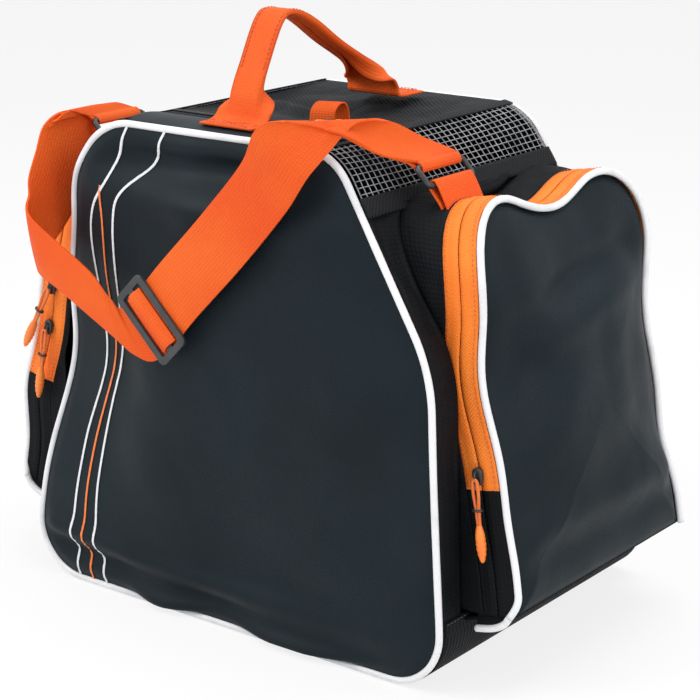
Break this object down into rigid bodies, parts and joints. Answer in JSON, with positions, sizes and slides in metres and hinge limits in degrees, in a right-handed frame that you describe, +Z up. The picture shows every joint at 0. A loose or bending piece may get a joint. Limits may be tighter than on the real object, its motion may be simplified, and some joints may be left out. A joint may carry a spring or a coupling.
{
  "type": "ski boot bag",
  "caption": "Soft bell-sided bag with a zipped boot compartment behind a domed door at each end, net shoulders, a carry handle and an adjustable shoulder strap.",
  "frame": {"origin": "on the ground under the middle of the base", "axes": "+Z up, -Y out of the front panel that the strap crosses, +X towards the right boot compartment"},
  "size_m": [0.5116, 0.3305, 0.4772],
  "materials": {
    "coated_cloth": "black polyester with a soft-sheen coating",
    "ribbed_cloth": "black twill with a fine rib",
    "dobby_cloth": "black dobby-weave polyester",
    "base_cloth": "black coated base cloth with a cross rib",
    "lining": "black lining",
    "stiffener": "black polypropylene sheet",
    "net": "open knotted net of pale grey cord",
    "piping": "white vinyl piping",
    "zip_tape": "orange reverse-coil zip tape",
    "top_zip": "black coil zip tape",
    "webbing": "orange woven webbing",
    "pull_cord": "orange braided cord",
    "pull_grip": "orange moulded grip",
    "hardware": "black moulded hardware"
  },
  "bodies": {
    "bag": {"base_tray": "base_cloth", "base_stiffener_board": "stiffener", "front_panel": "coated_cloth", "front_panel_piping": "piping", "back_panel": "coated_cloth", "back_panel_piping": "piping", "top_front_strip": "coated_cloth", "top_panel": "ribbed_cloth", "top_zip_tape": "top_zip", "top_zip_tab": "webbing", "handle_front_patch": "webbing", "handle_back_patch": "webbing", "right_end_wall": "dobby_cloth", "right_net_panel": "net", "right_divider": "lining", "right_compartment_collar": "dobby_cloth", "right_compartment_sill": "base_cloth", "right_bag_zip_tape": "zip_tape", "right_strap_anchor": "webbing", "right_strap_ring": "hardware", "left_end_wall": "dobby_cloth", "left_net_panel": "net", "left_divider": "lining", "left_compartment_collar": "dobby_cloth", "left_compartment_sill": "base_cloth", "left_bag_zip_tape": "zip_tape", "left_strap_anchor": "webbing", "left_strap_ring": "hardware"},
    "right_door": {"right_door_panel": "coated_cloth", "right_door_piping": "piping", "right_door_zip_tape": "zip_tape"},
    "left_door": {"left_door_panel": "coated_cloth", "left_door_piping": "piping", "left_door_zip_tape": "zip_tape"},
    "right_front_slider": {"right_front_slider": "hardware"},
    "right_front_pull": {"right_front_pull_cord": "pull_cord", "right_front_pull_grip": "pull_grip"},
    "left_upper_slider": {"left_upper_slider": "hardware"},
    "left_upper_pull": {"left_upper_pull_cord": "pull_cord", "left_upper_pull_grip": "pull_grip"},
    "left_lower_slider": {"left_lower_slider": "hardware"},
    "left_lower_pull": {"left_lower_pull_cord": "pull_cord", "left_lower_pull_grip": "pull_grip"},
    "right_back_slider": {"right_back_slider": "hardware"},
    "right_back_pull": {"right_back_pull_cord": "pull_cord", "right_back_pull_grip": "pull_grip"},
    "top_slider": {"top_slider": "hardware"},
    "top_pull": {"top_pull_cord": "pull_cord", "top_pull_grip": "pull_grip"},
    "carry_handle": {"carry_handle_loop": "webbing"},
    "strap": {"shoulder_strap": "webbing"},
    "adjuster": {"strap_adjuster": "hardware"}
  },
  "joints": [
    {"name": "right_door_hinge", "type": "hinge", "parent": "bag", "child": "right_door", "pos_m": [0.248, 0, 0.065], "axis": [0, 1, 0], "range_deg": [0, 100]},
    {"name": "left_door_hinge", "type": "hinge", "parent": "bag", "child": "left_door", "pos_m": [-0.248, 0, 0.065], "axis": [0, -1, 0], "range_deg": [0, 100]},
    {"name": "right_front_zip_run", "type": "slide", "parent": "bag", "child": "right_front_slider", "axis": [-0.1732, 0, 0.9849], "range_m": [-0.09, 0.07]},
    {"name": "right_front_pull_swing", "type": "hinge", "parent": "right_front_slider", "child": "right_front_pull", "pos_m": [0.21622, -0.1273, 0.16602], "axis": [-0.9903, 0, -0.1392], "range_deg": [0, 85]},
    {"name": "left_upper_zip_run", "type": "slide", "parent": "bag", "child": "left_upper_slider", "axis": [0.1732, 0, 0.9849], "range_m": [0, 0.022]},
    {"name": "left_upper_pull_swing", "type": "hinge", "parent": "left_upper_slider", "child": "left_upper_pull", "pos_m": [-0.20357, -0.1273, 0.23792], "axis": [-0.8746, 0, 0.4848], "range_deg": [0, 85]},
    {"name": "left_lower_zip_run", "type": "slide", "parent": "bag", "child": "left_lower_slider", "axis": [0.1732, 0, 0.9849], "range_m": [-0.12, 0]},
    {"name": "left_lower_pull_swing", "type": "hinge", "parent": "left_lower_slider", "child": "left_lower_pull", "pos_m": [-0.20981, -0.1273, 0.20246], "axis": [-0.9848, 0, 0.1736], "range_deg": [0, 85]},
    {"name": "right_back_zip_run", "type": "slide", "parent": "bag", "child": "right_back_slider", "axis": [-0.1726, -0.0842, 0.9814], "range_m": [-0.09, 0.06]},
    {"name": "right_back_pull_swing", "type": "hinge", "parent": "right_back_slider", "child": "right_back_pull", "pos_m": [0.21611, 0.1215, 0.16663], "axis": [0.9903, 0.0029, 0.1392], "range_deg": [0, 85]},
    {"name": "top_zip_run", "type": "slide", "parent": "bag", "child": "top_slider", "axis": [1, 0, 0], "range_m": [-0.1, 0.01]},
    {"name": "top_pull_swing", "type": "hinge", "parent": "top_slider", "child": "top_pull", "pos_m": [0.052, -0.098, 0.3986], "axis": [0, -1, 0], "range_deg": [0, 85]},
    {"name": "handle_fold", "type": "hinge", "parent": "bag", "child": "carry_handle", "pos_m": [0, -0.033, 0.3992], "axis": [0, 1, 0], "range_deg": [-45, 45]},
    {"name": "strap_swing", "type": "hinge", "parent": "bag", "child": "strap", "pos_m": [0, -0.075, 0.37903], "axis": [-1, 0, 0], "range_deg": [0, 75]},
    {"name": "adjuster_run", "type": "slide", "parent": "strap", "child": "adjuster", "axis": [-0.6985, 0, -0.7156], "range_m": [-0.11, 0]}
  ]
}
